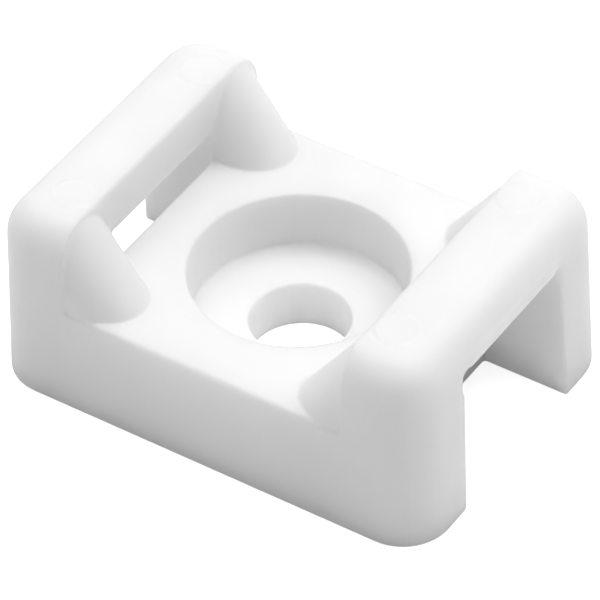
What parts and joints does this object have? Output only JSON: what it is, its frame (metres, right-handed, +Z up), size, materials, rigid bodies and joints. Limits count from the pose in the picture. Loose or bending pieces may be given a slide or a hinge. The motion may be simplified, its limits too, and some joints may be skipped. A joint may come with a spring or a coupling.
{
  "type": "cable tie mount",
  "caption": "One-piece screw-down saddle for a cable tie: two raised end bars with a tie passage under each, a recessed deck and a counterbored screw hole.",
  "frame": {"origin": "middle of the flat base that lies on the mounting surface", "axes": "+X along the mount, the way the tie runs through it; +Y across it, the way the bundle lies; +Z up out of the mounting surface"},
  "size_m": [0.0222, 0.0158, 0.0096],
  "materials": {
    "nylon": "natural white moulded nylon, satin, with softened edges"
  },
  "bodies": {
    "root": {"mount_body": "nylon"}
  },
  "joints": []
}
